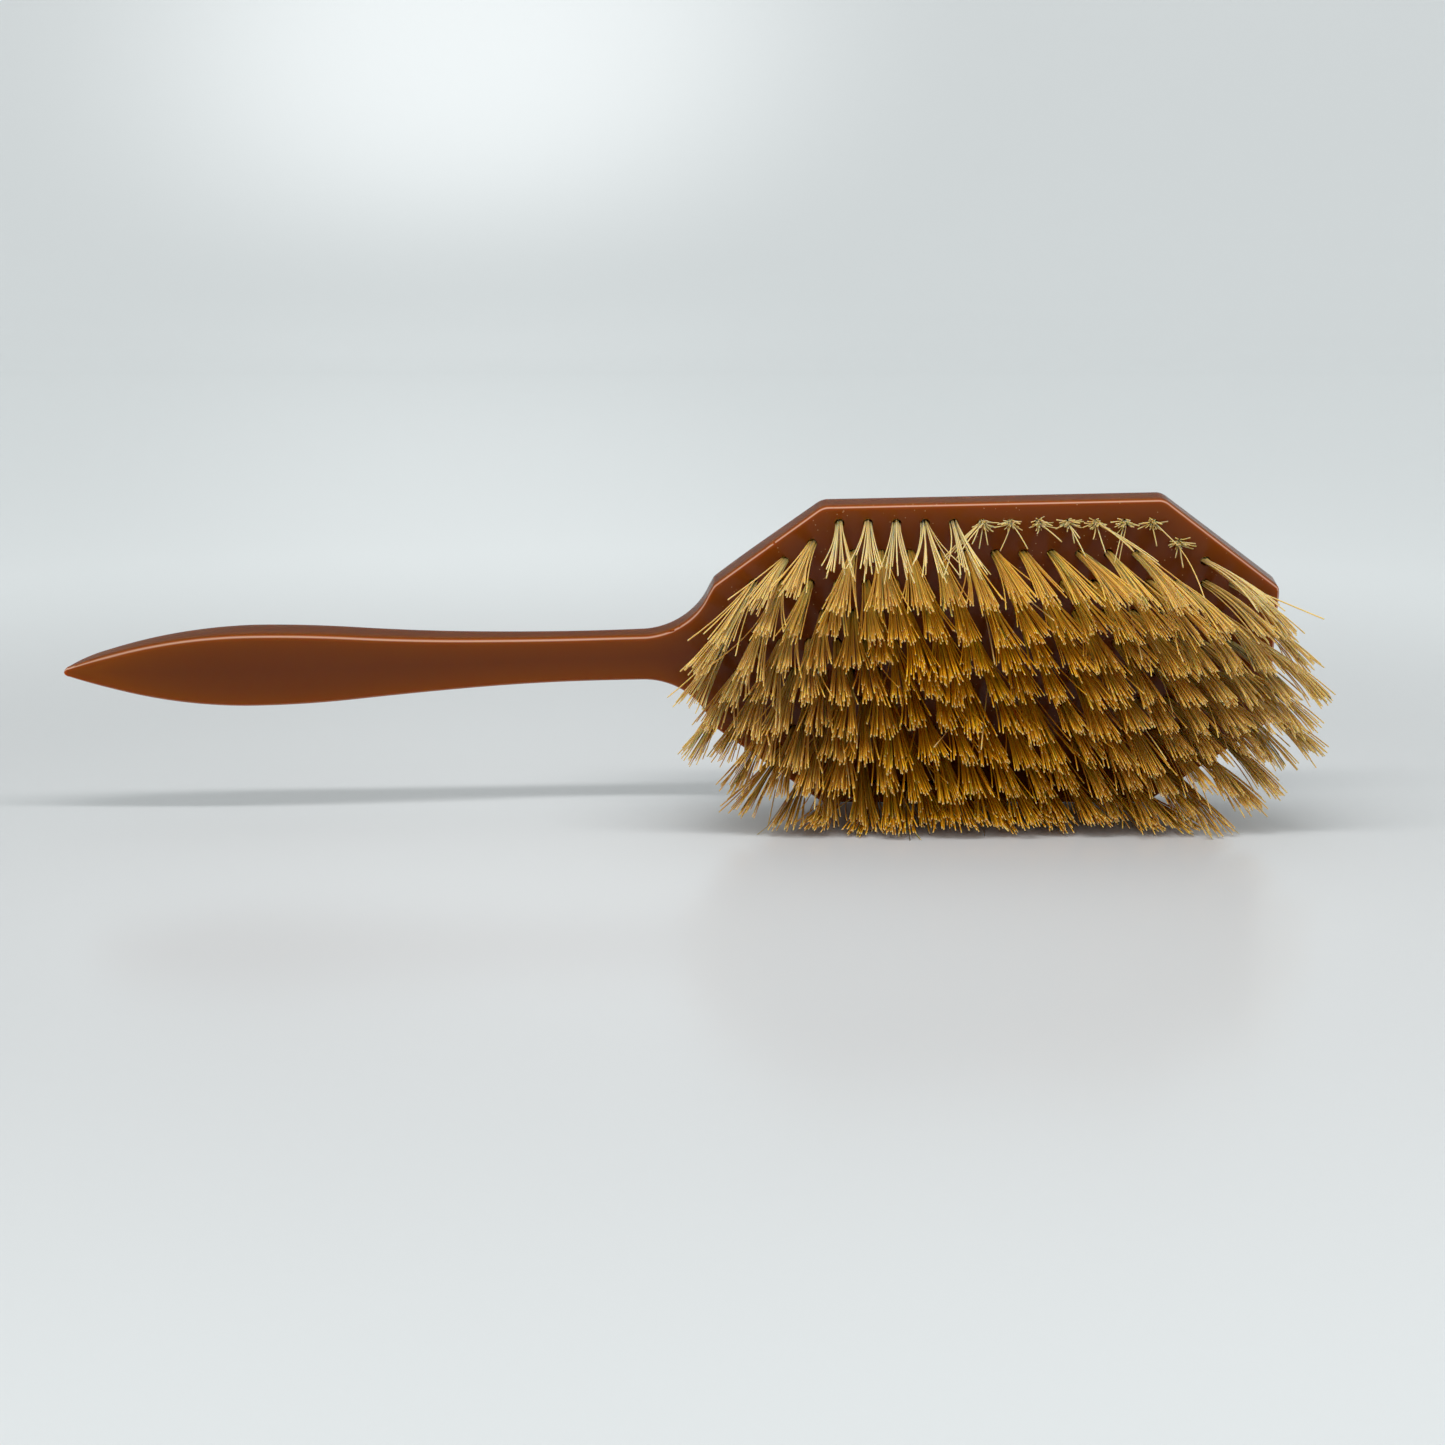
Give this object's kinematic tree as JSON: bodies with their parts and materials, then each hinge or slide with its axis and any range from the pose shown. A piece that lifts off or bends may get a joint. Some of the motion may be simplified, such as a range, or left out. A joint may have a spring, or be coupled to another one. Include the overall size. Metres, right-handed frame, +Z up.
{
  "type": "vanity hairbrush",
  "caption": "Long-handled vanity hairbrush with an elongated octagonal head, a slim pointed handle and rows of bristle tufts held in blind holes by small metal anchors.",
  "frame": {"origin": "on the surface the brush lies on, under the centre of its bounding box", "axes": "+Z up, +X along the brush from the handle's tip to the far end of the head, +Y away from the bristles, towards the back of the head"},
  "size_m": [0.2568, 0.0427, 0.068],
  "materials": {
    "body": "polished translucent amber-brown moulding",
    "bristle": "golden natural bristle with pale cut tips",
    "anchor": "dull"
  },
  "bodies": {
    "root": {"brush_body": "body", "tuft_row_01": "bristle", "tuft_row_02": "bristle", "tuft_row_03": "bristle", "tuft_row_04": "bristle", "tuft_row_05": "bristle", "tuft_row_06": "bristle", "tuft_row_07": "bristle", "tuft_row_08": "bristle", "tuft_row_09": "bristle", "tuft_row_10": "bristle", "anchor_row_01": "anchor", "anchor_row_02": "anchor", "anchor_row_03": "anchor", "anchor_row_04": "anchor", "anchor_row_05": "anchor", "anchor_row_06": "anchor", "anchor_row_07": "anchor", "anchor_row_08": "anchor", "anchor_row_09": "anchor", "anchor_row_10": "anchor"}
  },
  "joints": []
}
